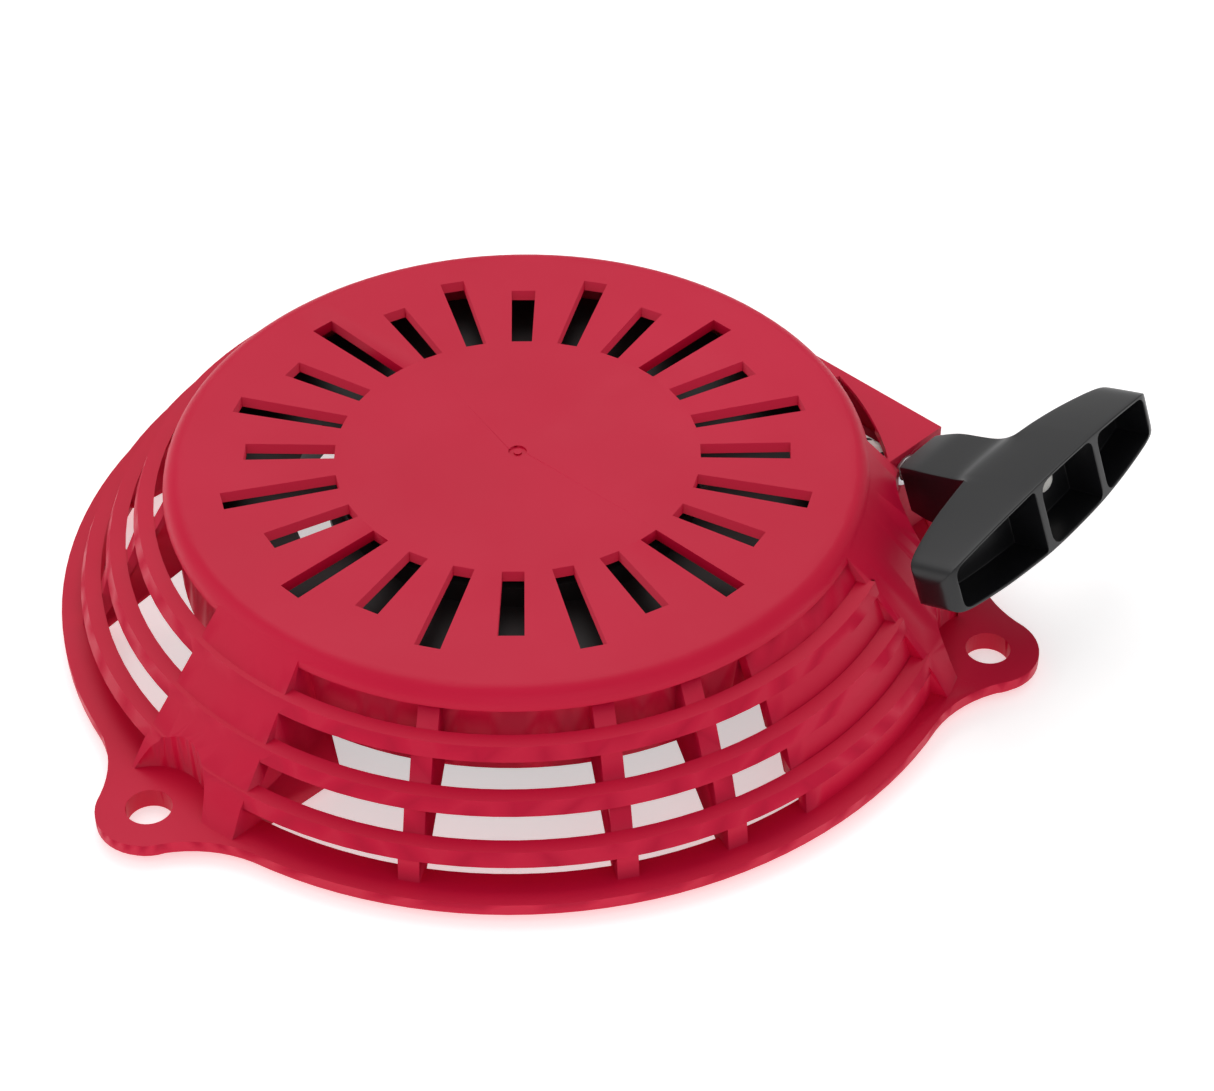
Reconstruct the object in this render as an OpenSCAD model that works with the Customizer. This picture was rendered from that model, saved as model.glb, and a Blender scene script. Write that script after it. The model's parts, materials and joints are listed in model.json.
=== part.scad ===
// Recoil starter for a small vertical-shaft engine.
// Origin on the crank axis at the mounting plane, +Z away from the engine, +X along the rope's pull.

/* [Housing] */
// Height from the mounting plane to the flat top
case_h = 34.2; // [33:0.2:42]
// Radius of the top plate's rim
top_r = 69.5; // [66:0.5:84]
// Rounding of the top plate's rim
rim_round = 4; // [2:0.5:5]
// Thickness of the top plate
top_t = 2.4; // [2:0.1:3]
// Wall thickness of the skirt, pillars and drum
wall_t = 2; // [1.6:0.1:2.4]
// Distance from the top plate's rim to the flange's edge
skirt_w = 22.6; // [21:0.1:28]
// Thickness of the flange
flange_t = 2.5; // [2:0.1:3.5]
// Height of the pads under the ears
pad_h = 1.7; // [1:0.1:2.5]

/* [Mounting] */
// Distance from the flange's edge to the bolt holes
ear_out = 3.2; // [2:0.1:7]
// Radius of the bolt holes
bolt_r = 4.4; // [3:0.1:5]
// End radius of the ears
ear_r = 10; // [8.5:0.5:12]
// Radius of the recess for the bolt's head
recess_r = 10.75; // [9:0.25:12]
// Width of the pillars at the top
pillar_w = 21.3; // [18:0.1:26]

/* [Vents] */
// Number of slots in the top plate
slot_n = 24; // [12:2:30]
// Radius at which the slots start
slot_in = 35.8; // [32:0.2:40]
// Distance from the rim to the long slots' outer ends
slot_edge = 11.1; // [9:0.1:16]
// How much shorter the short slots are
slot_step = 4.9; // [0:0.1:8]
// Width of a slot at its inner end
slot_w = 4.2; // [3:0.1:5]
// Extra width of a slot at its outer end
slot_flare = 0.8; // [0:0.1:1.2]
// Width of the bars across the skirt's openings
bar_w = 4; // [3:0.5:6]

/* [Rope and reel] */
// Diameter of the rope
rope_d = 4; // [3:0.1:4.5]
// Gap between the reel's edge and the drum
reel_gap = 1.3; // [1:0.1:4]
// Radius of the post that the reel turns on
post_r = 9; // [7:0.1:10]
// Layers of rope on the reel
rope_layers = 4; // [2:1:4]
// Distance from the top down to the rope's centre line
rope_drop = 12.8; // [11.6:0.1:14]

/* [Recoil spring] */
// Thickness of the spring's strip
strip_t = 0.5; // [0.3:0.1:0.7]
// Turns in the spring
spring_turns = 9; // [5:1:11]
// Outer radius of the spring's well
well_r = 34; // [30:0.5:35]

/* [Pawls] */
// Gap between the reel's hub and a pawl's eye
pawl_gap = 3.2; // [2:0.1:4]
// Length of a pawl from its pivot to its tip
pawl_len = 17; // [14:0.5:18]
// Radius of a pawl's pivot pin
pawl_pin_r = 3; // [2:0.1:3.5]
// Thickness of a pawl
pawl_t = 4.6; // [3:0.1:4.8]

/* [Handle] */
// Length of the grip's bar
grip_len = 68; // [56:1:90]
// Height of the bar at its middle
grip_h = 15.4; // [13:0.1:18]
// Height of the bar at its ends
grip_end_h = 9; // [8:0.1:13]
// Distance from the outlet to the bar's front face
grip_reach = 38; // [34:1:46]
// Depth of the bar at its middle
grip_depth = 16; // [14:1:18]

/* [Hidden] */
$fn = 96;
lap = 0.05;
run_gap = 0.05;
seat_gap = 0.3;
far = 200;
red = "crimson";
// skirt: each louvre ring's inner radius and its drop below the top
lip_h = 3.8;
flange_r = top_r + skirt_w;
ear_pcd_r = flange_r + ear_out;
flange_z = pad_h + flange_t;
flange_in = flange_r - 3.7;
ring_at = [0.093, 0.3673, 0.6195];
ring_fall = [0.25, 0.5, 0.74];
ring_in = [for (f = ring_at) top_r + f * skirt_w];
ring_drop = [for (f = ring_fall) f * (case_h - flange_z)];
ring_w = 3.1;
ring_h = 2.8;
ring_slant = 1.1;
drum_out = top_r - 2;
drum_in = drum_out - wall_t;
drum_h = 20;
pillar_top = 1.2;
pillar_foot = flange_r - 0.3;
pillar_proud = 0.7;
pillar_draft = [4.5, 8.5];
pillar_shift = 2.35;
ear_angles = [-90, 30, 150];
bar_angles = [-57, -31, -17, -125, -151, -177, 118, 97];
stair_start = -7;
cone_start = 20;
louvre_start = 96;
louvre_end = 361 + cone_start;
cone_end = 50;
skin_sink = 0.2;
blend_r = 25;
blend_lap = 0.03;
// outlet housing
deck_z = case_h - 8;
deck_x0 = -4;
reel_r = drum_in - reel_gap;
rope_y = reel_r - 0.6 - rope_d / 2;
rope_z = case_h - rope_drop;
deck_y = top_r + 2.9;
corner_in = 5.344;
outlet_x = sqrt(pow(flange_r - corner_in, 2) - pow(deck_y, 2));
outlet_back = outlet_x - 7.8;
outlet_foot = rope_y - 11.6;
scoop_r = 16;
deck_gap_r = top_r + 4.4;
deck_gap_from = 50.7;
deck_gap_to = 72.7;
hole_r = rope_d / 2 + 1.4;
bush_wall = 1.2;
bush_rim = 1;
// centre post, hub and retaining pieces
plate_z = case_h - top_t;
web_z = rope_z - 1.4;
web_t = 2.6;
post_z = web_z - 9.2;
collar_r = post_r + 3.5;
collar_z = web_z + web_t + seat_gap;
insert_r = 4;
screw_r = 3;
washer_t = 0.8;
washer_r = post_r + 3;
washer_z = post_z - washer_t;
pawl_z = web_z - 8.6;
guide_z = pawl_z - 3.8;
guide_t = 1.8;
shoulder_r = 6;
neck_r = 8;
head_z = guide_z - 4;
head_r = 8.4;
// reel
hub_r = post_r + 4;
hub_z = post_z + 0.2;
groove_w = rope_d + 0.4;
cheek_t = 1.8;
well_wall = 1.8;
well_top = plate_z - 1.8;
layer_pitch = rope_d - 0.05;
groove_floor = rope_y - (rope_layers - 0.5) * layer_pitch - 0.6;
window_in = well_r + well_wall + 2;
window_out = groove_floor - wall_t - 0.4;
window_angles = [209, 239];
window_arc = 20;
// pawls
pawl_eye = pawl_pin_r + 2.8;
pawl_pivot = hub_r + pawl_gap + pawl_eye;
guide_r = pawl_pivot + 5;
pawl_rest = -110;
pawl_swing = 30;
guide_swing = 20;
peg_r = 1.6;
peg_at = 7;
peg_gap = 0.45;
boss_r = pawl_pin_r + 1.6;
wire_r = 0.5;
// handle
pitch = 18;
yaw = 3;
roll = 4;
grip_wall = 1.4;
grip_end = 6;
rib_y = [-6, 13];
rib_t = 1.4;
nose_r = 6;
nose_from = 3;
stem_w = 14;
stem_h = grip_h - 3;
knot_r = 3.6;

function polar(r, a) = [r * cos(a), r * sin(a)];

// Stepped outline of the louvred skirt, as radius and height
function stair() = concat(
    [[drum_out - 1, case_h - lip_h + 0.6], [top_r - 0.6, case_h - lip_h + 0.6]],
    [for (i = [0:2]) for (p = [[0, 0], [ring_w, 0], [ring_w + ring_slant, -ring_h]])
        [ring_in[i] + p[0] - skin_sink, case_h - ring_drop[i] + p[1] - skin_sink]],
    [[flange_in - skin_sink, flange_z - 1], [flange_in - skin_sink, pad_h + 0.4], [drum_out - 1, pad_h + 0.4]]);

// Smooth outline of the pillars, as radius and height
function slope() = [[drum_in + 0.5, case_h - pillar_top - 0.8], [top_r - pillar_top - 0.1, case_h - pillar_top],
    [ring_in[2] + ring_w + ring_slant + pillar_proud, case_h - ring_drop[2] - ring_h],
    [pillar_foot, flange_z - 0.5], [pillar_foot, pad_h + 0.4], [drum_in + 0.5, pad_h + 0.4]];

module wedge(outline, from, to) {
    rotate([0, 0, from]) rotate_extrude(angle = to - from) polygon(outline);
}

module wedge_shell(outline, from, to) {
    rotate([0, 0, from]) rotate_extrude(angle = to - from) difference() {
        polygon(outline);
        translate([-wall_t, -wall_t]) polygon(outline);
    }
}

// Top plate with its rounded rim
module top_plate() {
    rotate_extrude() union() {
        translate([0, plate_z]) square([top_r - rim_round, top_t]);
        intersection() {
            translate([top_r - rim_round, case_h - rim_round]) circle(r = rim_round);
            translate([top_r - rim_round - lap, case_h - lip_h]) square([rim_round + 1, lip_h]);
        }
        translate([drum_in, case_h - lip_h]) square([top_r - rim_round - drum_in + lap, lip_h]);
    }
}

module vent_slots() {
    for (i = [0:slot_n - 1]) {
        out = top_r - slot_edge - (i % 2 == 0 ? 0 : slot_step);
        rotate([0, 0, i * 360 / slot_n])
            translate([0, 0, plate_z - 1]) linear_extrude(top_t + 2) polygon([
                [slot_in, -slot_w / 2], [out, -slot_w / 2 - slot_flare / 2],
                [out, slot_w / 2 + slot_flare / 2], [slot_in, slot_w / 2]]);
    }
}

module louvres() {
    for (i = [0:2]) {
        r = ring_in[i];
        z = case_h - ring_drop[i];
        wedge([[r, z], [r + ring_w, z], [r + ring_w + ring_slant, z - ring_h], [r + ring_slant, z - ring_h]],
            louvre_start, louvre_end);
    }
}

module bars() {
    underside = [[flange_in - wall_t * 2, -far], [flange_in - wall_t * 2, pad_h], [drum_out, case_h - drum_h + 1.2],
        [drum_in, case_h - drum_h + 1.2], [drum_in, -far]];
    for (a = bar_angles) rotate([0, 0, a]) rotate([90, 0, 0]) linear_extrude(bar_w, center = true)
        difference() {
            polygon(stair());
            polygon(underside);
        }
}

module ear_outline() {
    reach = flange_r + blend_r - blend_lap;
    near = ear_r + blend_r - blend_lap;
    cx = (reach * reach - near * near + ear_pcd_r * ear_pcd_r) / (2 * ear_pcd_r);
    cy = sqrt(reach * reach - cx * cx);
    foot = [cx, cy] * (flange_r - 0.5) / reach;
    tip = [ear_pcd_r, 0] + [cx - ear_pcd_r, cy] * (ear_r - 0.5) / near;
    difference() {
        polygon([foot, [cx, cy], tip, [tip[0], -tip[1]], [cx, -cy], [foot[0], -foot[1]]]);
        translate([cx, cy]) circle(r = blend_r);
        translate([cx, -cy]) circle(r = blend_r);
    }
    translate([ear_pcd_r, 0]) circle(r = ear_r);
}

module flange() {
    translate([0, 0, pad_h]) linear_extrude(flange_t) difference() {
        union() {
            circle(r = flange_r);
            for (a = ear_angles) rotate(a) ear_outline();
        }
        circle(r = flange_in - wall_t * 2);
    }
    wedge([[deck_y - 1, pad_h + 0.3], [flange_in, pad_h + 0.3], [flange_in, flange_z - 0.3], [deck_y - 1, flange_z - 0.3]],
        cone_end - 3, louvre_start + 1);
    for (a = ear_angles) rotate([0, 0, a]) translate([ear_pcd_r, 0, 0]) cylinder(r = ear_r - 1.5, h = pad_h + 1);
}

module ear_cylinder(r, a = 0) {
    rotate([0, 0, a]) translate([ear_pcd_r, 0, 0]) cylinder(r = r, h = far);
}

// A stretch of the smooth skirt about +X, with drafted sides that part towards the flange
module pillar_block(width, sink) {
    difference() {
        translate([0, 0, -sink]) wedge([for (p = slope()) p - [sink, 0]], -16, 16);
        for (i = [0, 1]) {
            s = 2 * i - 1;
            translate([0, pillar_shift + s * width / 2, case_h]) rotate([s * pillar_draft[i], 0, 0])
                translate([0, s * far / 2, 0]) cube([far * 2, far, far], center = true);
        }
    }
}

module pillar() {
    difference() {
        pillar_block(pillar_w, 0);
        difference() {
            pillar_block(pillar_w - 2 * wall_t, wall_t);
            ear_cylinder(recess_r + wall_t);
        }
    }
}

// The smooth skirt from the ear beside the outlet round to the outlet
module cone() {
    difference() {
        wedge(slope(), cone_start, cone_end);
        difference() {
            translate([0, 0, -wall_t]) wedge([for (p = slope()) p - [wall_t, 0]], cone_start + 1.4, cone_end + 1);
            ear_cylinder(recess_r + wall_t, ear_angles[1]);
        }
        scoop();
    }
    intersection() {
        wedge(slope(), cone_start + 0.2, cone_end - 0.2);
        difference() {
            grown_scoop();
            scoop();
        }
    }
}

module outlet_plan(inset) {
    difference() {
        polygon([[deck_x0 + inset, drum_in], [deck_x0 + inset, deck_y - inset], [outlet_x - inset, deck_y - inset],
            [outlet_x - inset, outlet_foot], [outlet_back, outlet_foot]]);
        circle(r = drum_in + 1);
    }
}

module outlet() {
    difference() {
        translate([0, 0, pad_h]) linear_extrude(deck_z - pad_h) outlet_plan(0);
        translate([0, 0, pad_h - 1]) linear_extrude(deck_z - wall_t - pad_h + 1) difference() {
            outlet_plan(wall_t);
            circle(r = drum_out);
        }
    }
}

module scoop() {
    translate([outlet_x + scoop_r, deck_y - 8, flange_z - 0.3]) cylinder(r = scoop_r, h = far);
    translate([outlet_x, deck_y - 8, flange_z - 0.3]) cube([far, 40, far]);
}

module grown_scoop() {
    translate([outlet_x + scoop_r, deck_y - 8, flange_z - 0.4]) cylinder(r = scoop_r + wall_t, h = far);
}

module deck_gap() {
    translate([0, 0, deck_z - wall_t - 1]) wedge([[top_r - 2, 0], [deck_gap_r, 0],
        [deck_gap_r, wall_t + 2], [top_r - 2, wall_t + 2]], deck_gap_from, deck_gap_to);
}

module post() {
    translate([0, 0, post_z]) cylinder(r = post_r, h = plate_z - post_z + 1);
    translate([0, 0, collar_z]) cylinder(r = collar_r, h = plate_z - collar_z + 1);
}

module housing() {
    color(red) difference() {
        union() {
            top_plate();
            louvres();
            bars();
            flange();
            rotate_extrude() translate([drum_in, case_h - drum_h]) square([wall_t, drum_h - 1.5]);
            wedge_shell(stair(), stair_start, cone_start + 1.5);
            cone();
            for (a = [ear_angles[0], ear_angles[2]]) rotate([0, 0, a]) pillar();
            outlet();
            post();
        }
        vent_slots();
        deck_gap();
        for (a = ear_angles) rotate([0, 0, a]) translate([ear_pcd_r, 0, 0]) {
            translate([0, 0, -1]) cylinder(r = bolt_r, h = far);
            translate([0, 0, flange_z]) cylinder(r = recess_r, h = far);
        }
        // way for the rope through the drum, and the outlet's hole
        translate([12, rope_y - 5, rope_z - 4]) cube([26, 14, 8]);
        translate([outlet_x - wall_t - bush_rim, rope_y, rope_z]) rotate([0, 90, 0]) {
            cylinder(r = hole_r, h = 12);
            cylinder(r = hole_r + bush_rim, h = bush_rim);
        }
        translate([0, 0, post_z - 1]) cylinder(r = insert_r, h = 14);
        // slot for the spring's inner hook, and the gate mark
        translate([collar_r - 2.6, -strip_t, collar_z - 1]) cube([4, 2 * strip_t, plate_z - collar_z + 0.5]);
        translate([0, 0, case_h - 0.4]) cylinder(r = 1.8, h = 1);
    }
    color(red) translate([0, 0, case_h - 1]) cylinder(r = 0.8, h = 0.9);
}

module post_insert() {
    color("goldenrod") translate([0, 0, post_z]) difference() {
        cylinder(r = insert_r, h = 12);
        translate([0, 0, -1]) cylinder(r = screw_r, h = 14);
    }
}

module window_cut(a) {
    wedge([[window_in, web_z], [window_out, web_z], [window_out, well_top], [window_in, well_top]],
        a - window_arc / 2, a + window_arc / 2);
}

module reel() {
    top = rope_z + groove_w / 2;
    low = rope_z - groove_w / 2;
    color([0.1, 0.1, 0.1]) difference() {
        union() {
            rotate_extrude() difference() {
                union() {
                    translate([post_r + run_gap, hub_z]) square([hub_r - post_r - run_gap, web_z + web_t - hub_z]);
                    translate([post_r + run_gap, web_z]) square([well_r + well_wall - post_r - run_gap, web_t]);
                    translate([well_r, web_z]) square([well_wall, well_top - web_z]);
                    translate([well_r + 1, top]) square([reel_r - well_r - 1, cheek_t]);
                    translate([groove_floor - wall_t, low - cheek_t]) square([reel_r - groove_floor + wall_t, cheek_t]);
                    translate([groove_floor - wall_t, low - cheek_t]) square([wall_t, groove_w + 2 * cheek_t]);
                }
            }
            for (a = [0, 180]) rotate([0, 0, a]) translate([pawl_pivot, 0, 0]) {
                translate([0, 0, pawl_z - 0.4]) cylinder(r = pawl_pin_r, h = web_z - pawl_z + 1);
                translate([0, 0, pawl_z + pawl_t + seat_gap]) cylinder(r = boss_r, h = web_z - pawl_z - pawl_t);
            }
        }
        for (a = window_angles) window_cut(a);
        // notch for the spring's outer hook, and the hole for the rope's knot
        translate([well_r - 1, -1, web_z + web_t + 1]) cube([4, 2, 20]);
        rotate([0, 0, 140]) translate([groove_floor - wall_t - 2, 0, rope_z]) rotate([0, 90, 0])
            cylinder(r = rope_d / 2 + 0.1, h = wall_t + 4);
    }
}

function coil_point(t, side) = polar(collar_r + 1.2 + (well_r - collar_r - 3) * t + side * strip_t / 2,
    360 * spring_turns * t);

module recoil_spring() {
    steps = spring_turns * 30;
    z0 = web_z + web_t + 1.4;
    color("silver") translate([0, 0, z0]) linear_extrude(well_top - z0) union() {
        polygon(concat(
            [for (i = [0:steps]) coil_point(i / steps, 1)],
            [for (i = [0:steps]) coil_point(1 - i / steps, -1)]));
        // hooks at both ends
        translate([collar_r - 2.2, -strip_t / 2]) square([3.6, strip_t]);
        translate([well_r - 2, -strip_t / 2]) square([2 + well_wall * 0.8, strip_t]);
    }
}

module rope_wound() {
    color("white") rotate_extrude() for (i = [0:rope_layers - 1])
        translate([rope_y - i * layer_pitch, rope_z]) circle(d = rope_d, $fn = 48);
}

module rope_reel_knot() {
    color("white") rotate([0, 0, 140])
        translate([groove_floor - wall_t - knot_r, 0, rope_z + groove_w / 2 - knot_r - 0.3])
        sphere(r = knot_r - 0.2, $fn = 40);
}

module rope_lead() {
    start = sqrt(pow(rope_y + rope_d / 2 + 0.4, 2) - pow(rope_y - rope_d / 2, 2));
    color("white") translate([start, rope_y, rope_z]) rotate([0, 90, 0])
        cylinder(d = rope_d, h = outlet_x + 1.2 - start);
}

module rope_bush() {
    color("silver") translate([outlet_x - wall_t - bush_rim, rope_y, rope_z]) rotate([0, 90, 0]) difference() {
        union() {
            cylinder(r = hole_r, h = wall_t + bush_rim + 0.6);
            cylinder(r = hole_r + bush_rim, h = bush_rim);
        }
        translate([0, 0, -1]) cylinder(r = hole_r - bush_wall, h = wall_t + 4);
    }
}

// Places a shape that is drawn along +X onto the handle's axis
module on_handle() {
    translate([outlet_x, rope_y, rope_z]) rotate([0, 0, yaw]) rotate([0, -pitch, 0]) rotate([roll, 0, 0]) children();
}

module grip_form(grow) {
    hull() {
        translate([grip_reach - grip_depth / 2, 0, 0])
            cube([grip_depth + 2 * grow, 14 + 2 * grow, grip_h + 2 * grow], center = true);
        for (s = [-1, 1]) translate([grip_reach - 5, s * (grip_len / 2 - grip_end / 2), 0])
            cube([9 + 2 * grow, grip_end + 2 * grow, grip_end_h + 2 * grow], center = true);
    }
}

// Three open pockets, parted by the ribs
module grip_pockets() {
    ends = [-grip_len / 2, rib_y[0] - rib_t / 2, rib_y[0] + rib_t / 2, rib_y[1] - rib_t / 2, rib_y[1] + rib_t / 2,
        grip_len / 2];
    intersection() {
        translate([grip_wall + 1, 0, 0]) grip_form(-grip_wall);
        for (i = [0, 2, 4]) translate([0, ends[i], -far / 2]) cube([far, ends[i + 1] - ends[i], far]);
    }
}

module handle() {
    color([0.12, 0.12, 0.13]) on_handle() difference() {
        union() {
            difference() {
                grip_form(0);
                grip_pockets();
            }
            translate([nose_from, 0, 0]) rotate([0, 90, 0]) cylinder(r = nose_r, h = 10);
            translate([nose_from + 6, -stem_w / 2, -stem_h / 2])
                cube([grip_reach - grip_depth - nose_from - 4, stem_w, stem_h]);
        }
        rotate([0, 90, 0]) cylinder(r = rope_d / 2 + 0.2, h = grip_reach);
    }
}

module rope_handle_end() {
    color("white") on_handle() {
        translate([2.2, 0, 0]) rotate([0, 90, 0]) cylinder(d = rope_d, h = grip_reach - grip_depth + 3);
        translate([grip_reach - grip_depth + 2 * grip_wall + 1.2 + knot_r, 0, 0]) sphere(r = knot_r, $fn = 40);
    }
}

// A pawl drawn for the pivot on +X
module pawl() {
    color("dimgray") translate([pawl_pivot, 0, pawl_z]) rotate([0, 0, pawl_rest]) {
        linear_extrude(pawl_t) difference() {
            union() {
                circle(r = pawl_eye);
                polygon([[0, -3.6], [pawl_len, -1.2], [pawl_len + 1, 2.6], [pawl_len - 4, 4], [0, 4.6]]);
            }
            circle(r = pawl_pin_r + run_gap);
        }
        translate([peg_at, 0, guide_z - pawl_z + 0.2]) cylinder(r = peg_r, h = pawl_z - guide_z + 1);
    }
}

module pawl_a() { pawl(); }
module pawl_b() { rotate([0, 0, 180]) pawl(); }

module pawl_spring() {
    z = pawl_z + pawl_t + seat_gap + 1;
    color("silver") translate([pawl_pivot, 0, z]) {
        rotate_extrude() for (i = [0:1]) translate([boss_r + wire_r + run_gap, i * wire_r * 1.7])
            circle(r = wire_r, $fn = 64);
        translate([0, boss_r + wire_r + run_gap, 0]) rotate([0, -90, 0]) cylinder(r = wire_r * 0.9, h = 7);
    }
}

module pawl_spring_a() { pawl_spring(); }
module pawl_spring_b() { rotate([0, 0, 180]) pawl_spring(); }

// Where a pawl's peg is in the guide's own frame, from 0 at rest to 1 swung out
function peg_path(t) = let(p = [pawl_pivot, 0] + polar(peg_at, pawl_rest + pawl_swing * t), a = -guide_swing * t)
    [p[0] * cos(a) - p[1] * sin(a), p[0] * sin(a) + p[1] * cos(a)];

module peg_slot() {
    from = peg_path(0);
    to = peg_path(1);
    way = to - from;
    r = peg_r + peg_gap;
    translate(from) circle(r = r);
    translate(to) circle(r = r);
    translate(from) rotate(atan2(way[1], way[0])) translate([0, -r]) square([norm(way), 2 * r]);
}

module ratchet_guide() {
    color([0.15, 0.15, 0.16]) difference() {
        union() {
            translate([0, 0, guide_z]) cylinder(r = guide_r, h = guide_t);
            translate([0, 0, head_z + 2.6]) cylinder(r = neck_r, h = guide_z - head_z - 2);
        }
        translate([0, 0, -1]) cylinder(r = shoulder_r + run_gap, h = far);
        for (a = [0, 180]) rotate([0, 0, a]) translate([0, 0, guide_z - 1]) linear_extrude(guide_t + 2) peg_slot();
    }
}

module friction_spring() {
    color("silver") translate([0, 0, guide_z - 0.75]) rotate([0, 0, 15]) rotate_extrude(angle = 330)
        translate([neck_r + wire_r + run_gap, 0]) circle(r = wire_r, $fn = 24);
}

module center_screw() {
    color("lightgray") difference() {
        union() {
            translate([0, 0, washer_z - 0.1]) cylinder(r = screw_r - run_gap, h = 11);
            translate([0, 0, head_z + 1]) cylinder(r = shoulder_r, h = washer_z - head_z - 1);
            translate([0, 0, head_z]) cylinder(r = head_r, h = 2.2);
        }
        translate([0, 0, head_z - 1]) cylinder(r = 3, h = 3, $fn = 6);
    }
}

module screw_washer() {
    color("silver") translate([0, 0, washer_z]) difference() {
        cylinder(r = washer_r, h = washer_t);
        translate([0, 0, -1]) cylinder(r = screw_r, h = washer_t + 2);
    }
}

housing();
post_insert();
reel();
recoil_spring();
rope_wound();
rope_reel_knot();
rope_lead();
rope_handle_end();
rope_bush();
handle();
pawl_a();
pawl_b();
pawl_spring_a();
pawl_spring_b();
ratchet_guide();
friction_spring();
center_screw();
screw_washer();
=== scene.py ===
import json
import math
import bpy
from mathutils import Matrix, Vector


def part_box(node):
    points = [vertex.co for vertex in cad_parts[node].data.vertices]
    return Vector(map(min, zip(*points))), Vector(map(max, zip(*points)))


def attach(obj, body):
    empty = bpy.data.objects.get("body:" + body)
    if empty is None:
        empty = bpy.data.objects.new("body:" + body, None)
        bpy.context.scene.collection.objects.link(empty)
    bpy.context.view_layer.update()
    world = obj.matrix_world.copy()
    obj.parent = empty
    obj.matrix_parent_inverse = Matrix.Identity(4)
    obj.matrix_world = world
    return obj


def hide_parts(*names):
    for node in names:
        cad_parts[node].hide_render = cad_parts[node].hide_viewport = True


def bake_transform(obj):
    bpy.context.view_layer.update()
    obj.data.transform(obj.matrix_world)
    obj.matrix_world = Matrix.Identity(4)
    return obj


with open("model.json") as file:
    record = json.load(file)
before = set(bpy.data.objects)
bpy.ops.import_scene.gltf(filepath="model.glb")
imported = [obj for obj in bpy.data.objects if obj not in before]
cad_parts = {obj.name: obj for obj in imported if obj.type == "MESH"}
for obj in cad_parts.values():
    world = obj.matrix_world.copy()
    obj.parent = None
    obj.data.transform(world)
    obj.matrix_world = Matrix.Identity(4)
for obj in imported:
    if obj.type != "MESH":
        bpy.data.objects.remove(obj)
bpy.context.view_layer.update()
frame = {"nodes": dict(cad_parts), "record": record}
mm = 0.001

studio = {
    "lensMm": 87.07,
    "azimuth": 45.17,
    "elevation": 40.713,
    "roll": -0.252,
    "place": (0.3298, -0.3033, 0.3950),
    "floorSize": 9.0,
    "floorGlow": 0.5,
    "worldStrength": 0.5,
    "lights": {  # place, size, power
        "keyLight": ((-0.35, 0.25, 0.75), 0.7, 2.6),
        "fillLight": ((0.75, -0.45, 0.45), 0.7, 0.9),
        "sideLight": ((-0.55, -0.65, 0.45), 0.6, 1.0),
    },
}

outlet = {"x": 47.8 * mm, "y": 61.6 * mm, "z": 21.4 * mm}  # where the rope leaves the housing


def nothingSelected():
    if bpy.context.object and bpy.context.object.mode != "OBJECT":
        bpy.ops.object.mode_set(mode="OBJECT")
    bpy.ops.object.select_all(action="DESELECT")


def onlyThis(piece):
    nothingSelected()
    piece.select_set(True)
    bpy.context.view_layer.objects.active = piece


def applyModifiers(piece):
    onlyThis(piece)
    for modifier in list(piece.modifiers):
        bpy.ops.object.modifier_apply(modifier=modifier.name)


def pickWhere(piece, kind, test):
    # selects vertices or faces of the piece that is in edit mode, by their place
    bpy.ops.object.mode_set(mode="OBJECT")
    bpy.ops.object.mode_set(mode="EDIT")
    bpy.ops.mesh.select_mode(type="VERT" if kind == "vertex" else "FACE")
    bpy.ops.mesh.select_all(action="DESELECT")
    bpy.ops.object.mode_set(mode="OBJECT")
    parts = piece.data.vertices if kind == "vertex" else piece.data.polygons
    for part in parts:
        part.select = bool(test(part))
    bpy.ops.object.mode_set(mode="EDIT")


# camera, lights, floor
def buildStudio():
    azimuth, elevation = math.radians(studio["azimuth"]), math.radians(studio["elevation"])
    roll = math.radians(studio["roll"])
    right = Vector((math.cos(azimuth), math.sin(azimuth), 0))
    back = Vector((math.sin(azimuth) * math.cos(elevation), -math.cos(azimuth) * math.cos(elevation),
                   math.sin(elevation)))
    up = back.cross(right)
    right, up = (right * math.cos(roll) + up * math.sin(roll), up * math.cos(roll) - right * math.sin(roll))
    turn = Matrix((right, up, back)).transposed().to_4x4()
    camera = bpy.data.objects.new("camera", bpy.data.cameras.new("camera"))
    camera.data.lens = studio["lensMm"]
    camera.data.sensor_width = 36
    camera.data.clip_start = 0.01
    camera.matrix_world = Matrix.Translation(studio["place"]) @ turn
    bpy.context.collection.objects.link(camera)
    bpy.context.scene.camera = camera

    for name, (place, size, power) in studio["lights"].items():
        lamp = bpy.data.lights.new(name, "AREA")
        lamp.size = size
        lamp.energy = power
        holder = bpy.data.objects.new(name, lamp)
        holder.location = place
        holder.rotation_euler = (Vector((0, 0, 0)) - Vector(place)).to_track_quat("-Z", "Y").to_euler()
        bpy.context.collection.objects.link(holder)

    world = bpy.data.worlds.new("world")
    world.use_nodes = True
    world.node_tree.nodes["Background"].inputs["Color"].default_value = (1, 1, 1, 1)
    world.node_tree.nodes["Background"].inputs["Strength"].default_value = studio["worldStrength"]
    bpy.context.scene.world = world
    bpy.context.scene.view_settings.view_transform = "Standard"

    nothingSelected()
    bpy.ops.mesh.primitive_plane_add(size=studio["floorSize"], location=(0, 0, -0.0002))
    floor = bpy.context.object
    floor.name = "floor"
    floor.data.materials.append(plainPaper())
    print("studio ready")


# materials
def startMaterial(name, roughness, metallic=0.0):
    material = bpy.data.materials.new(name)
    material.use_nodes = True
    shader = material.node_tree.nodes["Principled BSDF"]
    shader.inputs["Roughness"].default_value = roughness
    shader.inputs["Metallic"].default_value = metallic
    return material, material.node_tree, shader


def objectPlace(tree):
    return tree.nodes.new("ShaderNodeTexCoord").outputs["Object"]


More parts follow.
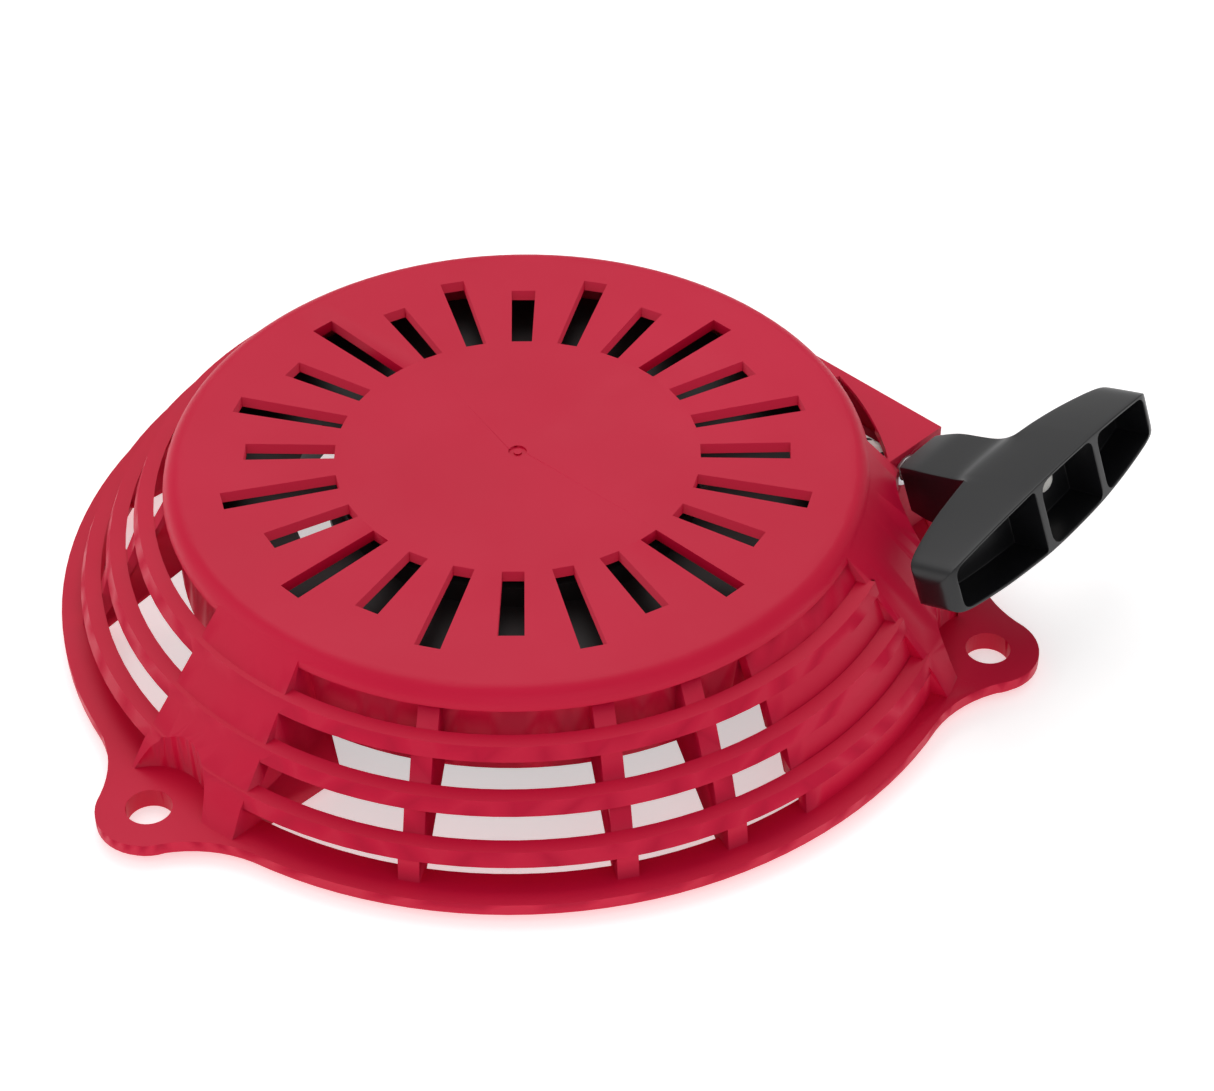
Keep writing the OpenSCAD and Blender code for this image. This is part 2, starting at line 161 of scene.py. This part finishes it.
def noise(tree, place, scale, detail=4.0):
    texture = tree.nodes.new("ShaderNodeTexNoise")
    texture.inputs["Scale"].default_value = scale
    texture.inputs["Detail"].default_value = detail
    tree.links.new(place, texture.inputs["Vector"])
    return texture.outputs["Fac"]


def ramp(tree, factor, stops):
    node = tree.nodes.new("ShaderNodeValToRGB")
    first, last = node.color_ramp.elements[0], node.color_ramp.elements[1]
    first.position, first.color = stops[0][0], (*stops[0][1], 1)
    last.position, last.color = stops[-1][0], (*stops[-1][1], 1)
    for position, colour in stops[1:-1]:
        node.color_ramp.elements.new(position).color = (*colour, 1)
    tree.links.new(factor, node.inputs["Fac"])
    return node.outputs["Color"]


def spread(tree, factor, low, high):
    node = tree.nodes.new("ShaderNodeMapRange")
    node.inputs["To Min"].default_value = low
    node.inputs["To Max"].default_value = high
    tree.links.new(factor, node.inputs["Value"])
    return node.outputs["Result"]


def roughen(tree, shader, height, distance, strength=1.0):
    node = tree.nodes.new("ShaderNodeBump")
    node.inputs["Distance"].default_value = distance
    node.inputs["Strength"].default_value = strength
    tree.links.new(height, node.inputs["Height"])
    tree.links.new(node.outputs["Normal"], shader.inputs["Normal"])


def plainPaper():
    material, tree, shader = startMaterial("paperFloor", 0.9)
    grain = noise(tree, objectPlace(tree), 3.0)
    tree.links.new(ramp(tree, grain, [(0.3, (0.86, 0.86, 0.86)), (0.7, (0.89, 0.89, 0.89))]),
                   shader.inputs["Base Color"])
    shader.inputs["Emission Color"].default_value = (1, 1, 1, 1)
    shader.inputs["Emission Strength"].default_value = studio["floorGlow"]
    return material


def mouldedPlastic(name, dark, light, roughness, grainMm=0.004, shine=0.5):
    # clouded colour, fine moulded grain and a slow change of gloss
    material, tree, shader = startMaterial(name, roughness)
    place = objectPlace(tree)
    clouds = ramp(tree, noise(tree, place, 18.0), [(0.3, dark), (0.72, light)])
    tree.links.new(clouds, shader.inputs["Base Color"])
    tree.links.new(spread(tree, noise(tree, place, 60.0), roughness - 0.06, roughness + 0.07),
                   shader.inputs["Roughness"])
    roughen(tree, shader, noise(tree, place, 2600.0, 2.0), grainMm * mm, 0.6)
    shader.inputs["Specular IOR Level"].default_value = shine
    return material


def turnedMetal(name, dark, light, roughness, stretch=(1, 1, 12)):
    material, tree, shader = startMaterial(name, roughness, 1.0)
    mapping = tree.nodes.new("ShaderNodeMapping")
    mapping.inputs["Scale"].default_value = stretch
    tree.links.new(objectPlace(tree), mapping.inputs["Vector"])
    lines = noise(tree, mapping.outputs["Vector"], 260.0, 6.0)
    tree.links.new(ramp(tree, lines, [(0.3, dark), (0.7, light)]), shader.inputs["Base Color"])
    tree.links.new(spread(tree, lines, roughness - 0.08, roughness + 0.12), shader.inputs["Roughness"])
    roughen(tree, shader, lines, 0.01 * mm, 0.5)
    return material


def braidedRope(name):
    # white strands with dark tracer yarns; U runs round the rope and V along it, in strands
    material, tree, shader = startMaterial(name, 0.85)
    uv = tree.nodes.new("ShaderNodeUVMap")
    uv.uv_map = "braid"
    split = tree.nodes.new("ShaderNodeSeparateXYZ")
    tree.links.new(uv.outputs["UV"], split.inputs["Vector"])

    def reckon(a, b, operation, value=None):
        node = tree.nodes.new("ShaderNodeMath")
        node.operation = operation
        tree.links.new(a, node.inputs[0])
        if value is None:
            tree.links.new(b, node.inputs[1])
        else:
            node.inputs[1].default_value = value
        return node.outputs["Value"]

    leftLay = reckon(split.outputs["X"], split.outputs["Y"], "ADD")
    rightLay = reckon(split.outputs["X"], split.outputs["Y"], "SUBTRACT")
    waves = []
    for lay in (leftLay, rightLay):
        turn = reckon(lay, None, "MULTIPLY", math.pi * 2)
        wave = reckon(turn, None, "SINE", 0)
        waves.append(reckon(wave, None, "MULTIPLY", 0.5))
    height = reckon(waves[0], waves[1], "MAXIMUM")
    tracer = reckon(reckon(reckon(leftLay, None, "MULTIPLY", 0.5), None, "FRACT", 0), None, "LESS_THAN", 0.2)
    over = reckon(waves[0], waves[1], "GREATER_THAN")
    fleck = reckon(tracer, over, "MULTIPLY")
    tree.links.new(ramp(tree, fleck, [(0.4, (0.82, 0.80, 0.76)), (0.6, (0.015, 0.015, 0.015))]),
                   shader.inputs["Base Color"])
    shader.inputs["Sheen Weight"].default_value = 0.3
    roughen(tree, shader, height, 0.25 * mm, 0.8)
    return material


finishes = {}


def makeFinishes():
    finishes["redShell"] = mouldedPlastic("redShell", (0.59, 0.003, 0.036), (0.65, 0.005, 0.046),
                                          0.44, 0.004, 0.22)
    finishes["blackReel"] = mouldedPlastic("blackReel", (0.010, 0.010, 0.010), (0.018, 0.018, 0.018), 0.5)
    finishes["gripRubber"] = mouldedPlastic("gripRubber", (0.004, 0.004, 0.005), (0.008, 0.008, 0.009),
                                            0.34, 0.004)
    finishes["guidePlastic"] = mouldedPlastic("guidePlastic", (0.02, 0.02, 0.022), (0.035, 0.035, 0.038),
                                              0.45)
    finishes["zincPlate"] = turnedMetal("zincPlate", (0.48, 0.49, 0.50), (0.68, 0.69, 0.70), 0.32)
    finishes["springSteel"] = turnedMetal("springSteel", (0.24, 0.26, 0.30), (0.42, 0.44, 0.48), 0.28)
    finishes["pawlSteel"] = turnedMetal("pawlSteel", (0.16, 0.16, 0.17), (0.30, 0.30, 0.31), 0.42, (1, 1, 1))
    finishes["brassInsert"] = turnedMetal("brassInsert", (0.50, 0.33, 0.12), (0.70, 0.50, 0.22), 0.3)
    finishes["starterRope"] = braidedRope("starterRope")
    print("materials ready")


# carried-over parts, with softened edges, except that the clamp on overlaps leaves the housing sharp
partLooks = {  # node: finish, edge radius in mm
    "housing": ("redShell", 0.35),
    "post_insert": ("brassInsert", 0.2),
    "reel": ("blackReel", 0.3),
    "recoil_spring": ("springSteel", 0.0),
    "rope_bush": ("zincPlate", 0.2),
    "pawl_a": ("pawlSteel", 0.3),
    "pawl_b": ("pawlSteel", 0.3),
    "pawl_spring_a": ("springSteel", 0.0),
    "pawl_spring_b": ("springSteel", 0.0),
    "ratchet_guide": ("guidePlastic", 0.3),
    "friction_spring": ("springSteel", 0.0),
    "center_screw": ("zincPlate", 0.35),
    "screw_washer": ("zincPlate", 0.15),
}


def bodyOf(node):
    for body, nodes in frame["record"]["behaviour"]["bodies"].items():
        if node in nodes:
            return body


def softenPart(node, finish, edgeMm):
    source = frame["nodes"][node]
    if edgeMm == 0:
        for index in range(max(1, len(source.material_slots))):
            if not source.material_slots:
                source.data.materials.append(finishes[finish])
            source.material_slots[index].link = "OBJECT"
            source.material_slots[index].material = finishes[finish]
        return source
    piece = bpy.data.objects.new(node + "_soft", source.data.copy())
    bpy.context.collection.objects.link(piece)
    piece.data.materials.clear()
    piece.data.materials.append(finishes[finish])
    onlyThis(piece)
    bpy.ops.object.mode_set(mode="EDIT")
    bpy.ops.mesh.select_all(action="SELECT")
    bpy.ops.mesh.remove_doubles(threshold=0.000002)
    bpy.ops.mesh.dissolve_limited(angle_limit=math.radians(1.0))
    bpy.ops.object.mode_set(mode="OBJECT")
    for face in piece.data.polygons:
        face.material_index = 0
    bevel = piece.modifiers.new("softEdge", "BEVEL")
    bevel.width = edgeMm * mm
    bevel.segments = 2
    bevel.limit_method = "ANGLE"
    bevel.angle_limit = math.radians(28)
    bevel.use_clamp_overlap = True
    applyModifiers(piece)
    bpy.ops.object.shade_smooth_by_angle(angle=math.radians(32))
    flatter = piece.modifiers.new("flatFaces", "WEIGHTED_NORMAL")
    flatter.keep_sharp = True
    flatter.weight = 100
    applyModifiers(piece)
    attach(piece, bodyOf(node))
    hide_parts(node)
    return piece


# handle
grip = {
    "length": 68.5 * mm,
    "middleHeight": 15.4 * mm,
    "endHeight": 9.0 * mm,
    "middleDepth": 16 * mm,
    "endDepth": 9.5 * mm,
    "reach": 37.2 * mm,
    "crown": 2.0 * mm,
    "rim": 0.7 * mm,
    "ribs": (-6 * mm, 13 * mm),
    "ribWidth": 0.5 * mm,
    "stemHalf": 8.5 * mm,
    "pocketDepth": 8 * mm,
    "cornerRound": 2.4 * mm,
    "cornerDraw": 0.42,
    "edgeRound": 0.22 * mm,
    "cuts": (17.5 * mm, 22 * mm, 27 * mm),
    "stemSteps": (  # length, and the width and height next to the step before
        (2.2 * mm, 0.92, 0.86),
        (3.0 * mm, 0.94, 0.96),
        (6.5 * mm, 1.0, 1.0),
        (2.5 * mm, 0.96, 0.98),
        (4.6 * mm, 0.86, 0.86),
    ),
        "pitch": 18,
    "yaw": 3,
    "roll": 4,
}


def ontoHandle():
    # the handle is drawn along +X from the outlet and then turned onto the rope
    turn = (Matrix.Rotation(math.radians(grip["yaw"]), 4, "Z")
            @ Matrix.Rotation(math.radians(-grip["pitch"]), 4, "Y")
            @ Matrix.Rotation(math.radians(grip["roll"]), 4, "X"))
    return Matrix.Translation((outlet["x"], outlet["y"], outlet["z"])) @ turn


def buildHandle():
    half, rim, corner = grip["length"] / 2, grip["rim"], grip["cornerRound"]
    nothingSelected()
    bpy.ops.mesh.primitive_cube_add(size=1, location=(0, 0, 0))
    bar = bpy.context.object
    bar.name = "pull_grip"
    bar.scale = (1, grip["length"], 1)
    bpy.ops.object.transform_apply(location=False, rotation=False, scale=True)
    ribs = [y + s * grip["ribWidth"] / 2 for y in grip["ribs"] for s in (-1, 1)]
    ends = [half - corner, half - corner * 0.4]
    pairs = [s * y for y in (grip["stemHalf"], *grip["cuts"], *ends) for s in (-1, 1)]
    stations = ribs + pairs + [0]
    bpy.ops.object.mode_set(mode="EDIT")
    for y in stations:
        bpy.ops.mesh.select_all(action="SELECT")
        bpy.ops.mesh.bisect(plane_co=(0, y, 0), plane_no=(0, 1, 0))
    bpy.ops.mesh.select_all(action="SELECT")
    bpy.ops.mesh.bisect(plane_co=(0, 0, 0), plane_no=(0, 0, 1))
    for y in stations + [-half, half]:
        share = 1 - (y / half) ** 2
        beyond = max(0, abs(y) - (half - corner)) / corner
        rounding = 1 - grip["cornerDraw"] * beyond ** 2
        depth = (grip["endDepth"] + (grip["middleDepth"] - grip["endDepth"]) * share) * rounding
        height = (grip["endHeight"] + (grip["middleHeight"] - grip["endHeight"]) * share) * rounding
        middle = grip["reach"] + grip["crown"] * share - depth / rounding / 2
        pickWhere(bar, "vertex", lambda v: abs(v.co.y - y) < 0.05 * mm)
        bpy.ops.transform.resize(value=(depth, 1, height), center_override=(0, y, 0))
        bpy.ops.transform.translate(value=(middle, 0, 0))

    # three open pockets in the front, parted by thin ribs
    for low, high in ((-half + corner, ribs[0]), (ribs[1], ribs[2]), (ribs[3], half - corner)):
        pickWhere(bar, "face", lambda f: f.normal.x > 0.8 and low < f.center.y < high)
        bpy.ops.mesh.inset(thickness=rim, depth=0)
        bpy.ops.mesh.extrude_region_move(TRANSFORM_OT_translate={"value": (-grip["pocketDepth"], 0, 0)})
        bpy.ops.transform.resize(value=(1, 0.98, 0.92), center_override=(grip["reach"], (low + high) / 2, 0))

    # the stem grows out of the back and narrows to the nose that seats in the outlet
    backX = grip["reach"] - grip["middleDepth"]
    pickWhere(bar, "face", lambda f: f.normal.x < -0.8 and abs(f.center.y) < grip["stemHalf"])
    for distance, width, height in grip["stemSteps"]:
        bpy.ops.mesh.extrude_region_move(TRANSFORM_OT_translate={"value": (-distance, 0, 0)})
        backX -= distance
        bpy.ops.transform.resize(value=(1, width, height), center_override=(backX, 0, 0))
    bpy.ops.mesh.select_all(action="SELECT")
    bpy.ops.mesh.normals_make_consistent(inside=False)
    bpy.ops.object.mode_set(mode="OBJECT")
    bevel = bar.modifiers.new("edges", "BEVEL")
    bevel.width = grip["edgeRound"]
    bevel.segments = 2
    bevel.limit_method = "ANGLE"
    bevel.angle_limit = math.radians(40)
    smooth = bar.modifiers.new("round", "SUBSURF")
    smooth.levels = 2
    smooth.render_levels = 2
    applyModifiers(bar)
    bar.data.transform(ontoHandle())
    bpy.ops.object.shade_smooth_by_angle(angle=math.radians(50))
    bar.data.materials.append(finishes["gripRubber"])
    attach(bar, "handle")
    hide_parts("handle")
    print("handle ready")


# rope
rope = {
    "radius": 2.0 * mm,
    "sides": 16,
    "strandsRound": 8,
    "strandLength": 3.2 * mm,
    "reelRadius": 61.6 * mm,
    "layers": 4,
    "layerPitch": 3.95 * mm,
    "knotRadius": 2.3 * mm,
    "knotPlace": (29.5 * mm, 3 * mm, 0),
    "knotRope": 1.5 * mm,
    "reelKnotRadius": 1.5 * mm,
    "reelKnotRope": 1.1 * mm,
}


def ropeAlong(name, path, radius, closed=False):
    # a tube with its own braid map, ring by ring
    count, sides = len(path), rope["sides"]
    points, faces, along = [], [], [0.0]
    side = None
    for i, here in enumerate(path):
        after = path[(i + 1) % count] if closed or i < count - 1 else here
        before = path[i - 1] if closed or i > 0 else here
        heading = (after - before).normalized()
        side = (side or heading.orthogonal()) - heading * (side or heading.orthogonal()).dot(heading)
        side.normalize()
        other = heading.cross(side)
        for k in range(sides):
            turn = 2 * math.pi * k / sides
            points.append(here + (side * math.cos(turn) + other * math.sin(turn)) * radius)
        if i:
            along.append(along[-1] + (here - path[i - 1]).length)
    along.append(along[-1] + (path[0] - path[-1]).length)
    rings = count if closed else count - 1
    for i in range(rings):
        for k in range(sides):
            nextRing, nextSide = (i + 1) % count, (k + 1) % sides
            faces.append((i * sides + k, i * sides + nextSide,
                          nextRing * sides + nextSide, nextRing * sides + k))
    if not closed:
        faces.append(tuple(reversed(range(sides))))
        faces.append(tuple((count - 1) * sides + k for k in range(sides)))
    mesh = bpy.data.meshes.new(name)
    mesh.from_pydata(points, [], faces)
    layer = mesh.uv_layers.new(name="braid")
    for number in range(rings * sides):
        i, k = divmod(number, sides)
        corners = ((k, along[i]), (k + 1, along[i]), (k + 1, along[i + 1]), (k, along[i + 1]))
        for corner, (u, v) in zip(mesh.polygons[number].loop_indices, corners):
            layer.data[corner].uv = (u * rope["strandsRound"] / sides / 2, v / rope["strandLength"])
    mesh.materials.append(finishes["starterRope"])
    piece = bpy.data.objects.new(name, mesh)
    bpy.context.collection.objects.link(piece)
    onlyThis(piece)
    bpy.ops.object.shade_smooth_by_angle(angle=math.radians(60))
    return piece


def knotPath(centre, size, steps=72):
    # an overhand knot is a trefoil
    path = []
    for i in range(steps):
        t = 2 * math.pi * i / steps
        path.append(centre + Vector((0.8 * math.sin(3 * t), math.sin(t) + 2 * math.sin(2 * t),
                                     math.cos(t) - 2 * math.cos(2 * t))) * size * 0.5)
    return path


def buildRope():
    toHandle = ontoHandle()
    start = Vector((0, outlet["y"], outlet["z"]))
    exit = Vector((outlet["x"] + 1 * mm, outlet["y"], outlet["z"]))
    inside = [toHandle @ Vector((x * mm, 0, 0)) for x in (5, 8, 12, 16, 20, 24)]
    straight = [start.lerp(exit, i / 24) for i in range(25)]
    lead = ropeAlong("starter_rope", straight + inside, rope["radius"])
    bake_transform(lead)
    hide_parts("rope_lead")

    centre = toHandle @ Vector(rope["knotPlace"])
    knot = ropeAlong("handle_knot", knotPath(centre, rope["knotRadius"]), rope["knotRope"], True)
    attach(knot, "handle")
    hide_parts("rope_handle_end")

    turns = []
    for layer in range(rope["layers"]):
        radius = rope["reelRadius"] - layer * rope["layerPitch"]
        ring = [Vector((radius * math.cos(a), radius * math.sin(a), outlet["z"]))
                for a in (2 * math.pi * i / 120 for i in range(120))]
        turns.append(ropeAlong("rope_turn_%d" % layer, ring, rope["radius"], True))
    nothingSelected()
    for turn in turns:
        turn.select_set(True)
    bpy.context.view_layer.objects.active = turns[0]
    bpy.ops.object.join()
    wound = bpy.context.object
    wound.name = "rope_on_reel"
    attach(wound, "reel")
    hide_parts("rope_wound")

    low, high = (Vector(corner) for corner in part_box("rope_reel_knot"))
    centre = (low + high) / 2
    reelKnot = ropeAlong("reel_knot", knotPath(centre, rope["reelKnotRadius"]), rope["reelKnotRope"], True)
    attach(reelKnot, "reel")
    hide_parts("rope_reel_knot")
    print("rope ready")


makeFinishes()
buildStudio()
for node, (finish, edgeMm) in partLooks.items():
    softenPart(node, finish, edgeMm)
print("parts ready")
buildHandle()
buildRope()

nothingSelected()
